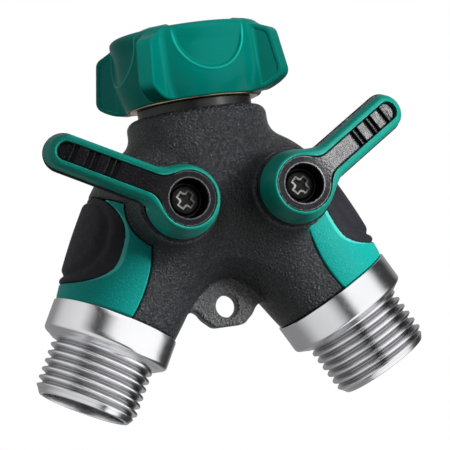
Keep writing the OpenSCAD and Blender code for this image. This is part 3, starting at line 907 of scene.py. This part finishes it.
def build_levers(mats):
    grip = polygonise(grip_field, (-11.0, -11.0, 24.0), (39.0, 11.0, 40.5), 0.25)
    core = polygonise(core_field, (-11.0, -11.0, 22.5), (39.5, 11.0, 40.5), 0.25)
    screw = polygonise(screw_field, (-4.2, -4.2, 23.4), (4.2, 4.2, 36.3), 0.12)
    for name, side in SIDES:
        for made, piece, node, slot in ((grip, "handle", "lever_grip", "lever_green"),
                                        (core, "handle_core", "lever_core", "lever_black"),
                                        (screw, "handle_screw", "lever_screw", "screw")):
            obj = placed(f"{name}_{piece}", made, side, valve_to_leg)
            finish_piece(obj, f"{name}_valve", f"{name}_{node}", mats[slot])


def dress_cad_nodes(mats):
    """Gives every CAD node that stays in view a material."""
    slots = {
        "manifold": "casting", "swivel_stem": "casting", "swivel_oring": "seal",
        "outlet_oring": "seal", "stem_oring": "seal", "ball_seats": "seat", "valve_ball": "ball",
        "valve_stem": "brass", "gland_nut": "brass",
    }
    for node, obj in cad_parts.items():
        kind = node.replace("left_", "").replace("right_", "")
        if kind in slots:
            obj.data.materials.clear()
            obj.data.materials.append(mats[slots[kind]])


# ------------------------------------------------------------------ floor, light and camera


def build_floor():
    """Pale floor that is seen from above only, and that the object neither mirrors nor is lit by."""
    reach, level, rows = 4.0, -0.19, 24
    mesh = bpy.data.meshes.new("floor")
    xs = np.linspace(-reach, reach, rows)
    x, y = np.meshgrid(xs, xs, indexing="ij")
    points = np.stack([x, y, 0 * x + level], 2).reshape(-1, 3)
    i, j = np.meshgrid(np.arange(rows - 1), np.arange(rows - 1), indexing="ij")
    first = i * rows + j
    quads = np.stack([first, first + rows, first + rows + 1, first + 1], 2).reshape(-1, 4)
    mesh.from_pydata(points.tolist(), [], quads.tolist())
    floor = bpy.data.objects.new("floor", mesh)
    bpy.context.scene.collection.objects.link(floor)
    mat = bpy.data.materials.new("floor_white")
    mat.use_nodes = True
    n = Nodes(mat.node_tree)
    geo = n.add("ShaderNodeNewGeometry")
    pale = n.add("ShaderNodeBsdfDiffuse", {"Color": rgb(0.86, 0.86, 0.86)}).outputs[0]
    clear = n.add("ShaderNodeBsdfTransparent").outputs[0]
    glow = n.add("ShaderNodeEmission", {"Color": rgb(1, 1, 1), "Strength": 0.95}).outputs[0]
    lit = n.add("ShaderNodeAddShader", {0: pale, 1: glow}).outputs[0]
    both = n.add("ShaderNodeMixShader", {0: geo.outputs["Backfacing"], 1: lit, 2: clear}).outputs[0]
    n.add("ShaderNodeOutputMaterial", {"Surface": both})
    floor.data.materials.append(mat)
    floor.visible_glossy = False
    floor.visible_diffuse = False


def build_world():
    """White to the camera. What reflects sees dark and bright bands, placed by degrees from the camera."""
    world = bpy.data.worlds.new("studio")
    bpy.context.scene.world = world
    world.use_nodes = True
    n = Nodes(world.node_tree)
    way = n.add("ShaderNodeTexCoord").outputs["Generated"]
    part = n.add("ShaderNodeSeparateXYZ", {0: way})
    azimuth = n.math("ARCTAN2", part.outputs["X"], n.math("MULTIPLY", part.outputs["Y"], -1.0))
    lean = n.remap(part.outputs["Z"], -0.5, 0.5, -0.35, 0.35)
    around = n.math("DEGREES", n.math("ADD", n.math("ADD", azimuth, CAMERA_YAW), lean))
    ramp = n.add("ShaderNodeValToRGB", {"Fac": n.remap(around, -200.0, 200.0, 0.0, 1.0)})
    stops = [(-200, 0.30), (-120, 0.30), (-85, 0.78), (-30, 0.92), (-12, 0.50), (-3, 0.04), (8, 0.05),
             (20, 1.30), (86, 1.30), (108, 0.06), (145, 0.05), (165, 0.40), (200, 0.30)]
    elements = ramp.color_ramp.elements
    while len(elements) < len(stops):
        elements.new(0.5)
    for element, (at, level) in zip(elements, stops):
        element.position = (at + 200) / 400
        element.color = rgb(level, level, level)
    shine = n.add("ShaderNodeBackground", {"Color": ramp.outputs["Color"]}).outputs[0]
    fill = n.add("ShaderNodeBackground", {"Color": rgb(0.95, 0.97, 1.0), "Strength": 0.10}).outputs[0]
    white = n.add("ShaderNodeBackground", {"Color": rgb(1, 1, 1)}).outputs[0]
    rays = n.add("ShaderNodeLightPath")
    seen = n.add("ShaderNodeMixShader", {0: rays.outputs["Is Glossy Ray"], 1: fill, 2: shine}).outputs[0]
    seen = n.add("ShaderNodeMixShader", {0: rays.outputs["Is Camera Ray"], 1: seen, 2: white}).outputs[0]
    n.add("ShaderNodeOutputWorld", {"Surface": seen})


def area_light(name, place, aim, size, power, shine=False, only=()):
    """Lamp that shows in reflections only if shine is set, and lights only the given pieces if any."""
    data = bpy.data.lights.new(name, "AREA")
    data.shape = "RECTANGLE"
    data.size, data.size_y = size
    data.energy = power
    lamp = bpy.data.objects.new(name, data)
    lamp.location = place
    lamp.rotation_mode = "QUATERNION"
    lamp.rotation_quaternion = (Vector(aim) - Vector(place)).to_track_quat("-Z", "Y")
    lamp.visible_glossy = shine
    bpy.context.scene.collection.objects.link(lamp)
    if only:
        lit = bpy.data.collections.new(name)
        for obj in only:
            lit.objects.link(obj)
        lamp.light_linking.receiver_collection = lit


def build_lights(pieces):
    """Side and back light everything. The others light chosen pieces or give them their highlights."""
    middle, right_arm = (0.0, 0.0, -0.05), (0.035, -0.045, -0.03)
    front_right = (0.40, -0.46, 0.12)
    nut = [obj for obj in pieces if obj.name.startswith("nut_")]
    rest = [obj for obj in pieces if obj not in nut]
    plastics = [obj for obj in rest if not obj.name.endswith("_thread")]
    levers = [obj for obj in pieces if obj.name.endswith("_handle")]
    cover = [obj for obj in pieces if obj.name == "cover"]
    inlay = [obj for obj in pieces if obj.name == "right_handle_core"]
    area_light("key", (0.52, -0.34, -0.02), middle, (0.22, 0.36), 4.2, only=rest)
    area_light("side", (-0.60, -0.10, 0.10), middle, (0.16, 0.50), 0.7)
    area_light("back", (0.10, 0.55, 0.30), middle, (0.50, 0.30), 1.4)
    area_light("glint", front_right, middle, (0.10, 0.36), 1.4, shine=True, only=plastics)
    area_light("spark", front_right, middle, (0.05, 0.16), 3.6, shine=True, only=cover)
    area_light("nut_key", (0.22, -0.50, 0.16), (0.0, 0.0, 0.01), (0.16, 0.16), 3.3, only=nut)
    area_light("knobs", (-0.30, -0.40, -0.30), middle, (0.20, 0.20), 2.4, only=levers)
    area_light("sheen", (0.46, -0.42, 0.17), right_arm, (0.12, 0.12), 6.0, shine=True, only=inlay)


def build_camera():
    """Seen from a little to the left and a little below, with the object leaning to the left."""
    yaw, rise, roll = CAMERA_YAW, math.radians(3.64), math.radians(8.49)
    away, wide = 0.782, 0.1163
    target = Vector((0.0038, 0.0011, -0.0510))
    forward = Vector((math.sin(yaw) * math.cos(rise), math.cos(yaw) * math.cos(rise), math.sin(rise)))
    right = Vector((math.cos(yaw), -math.sin(yaw), 0.0))
    up = right.cross(forward)
    cam_x = math.cos(roll) * right - math.sin(roll) * up
    cam_y = math.sin(roll) * right + math.cos(roll) * up
    data = bpy.data.cameras.new("camera")
    data.sensor_width = 36.0
    data.lens = 36.0 * away / wide
    data.clip_start, data.clip_end = 0.05, 20.0
    camera = bpy.data.objects.new("camera", data)
    turn = Matrix((cam_x, cam_y, -forward)).transposed().to_4x4()
    camera.matrix_world = Matrix.Translation(target - forward * away) @ turn
    bpy.context.scene.collection.objects.link(camera)
    bpy.context.scene.camera = camera


def main():
    mats = make_materials()
    build_body(mats)
    build_nut(mats)
    build_levers(mats)
    dress_cad_nodes(mats)
    build_floor()
    build_world()
    build_lights([obj for obj in bpy.context.scene.objects if obj.type == "MESH" and obj.name != "floor"])
    build_camera()
    view = bpy.context.scene.view_settings
    view.view_transform = "Standard"
    view.look = "None"


main()
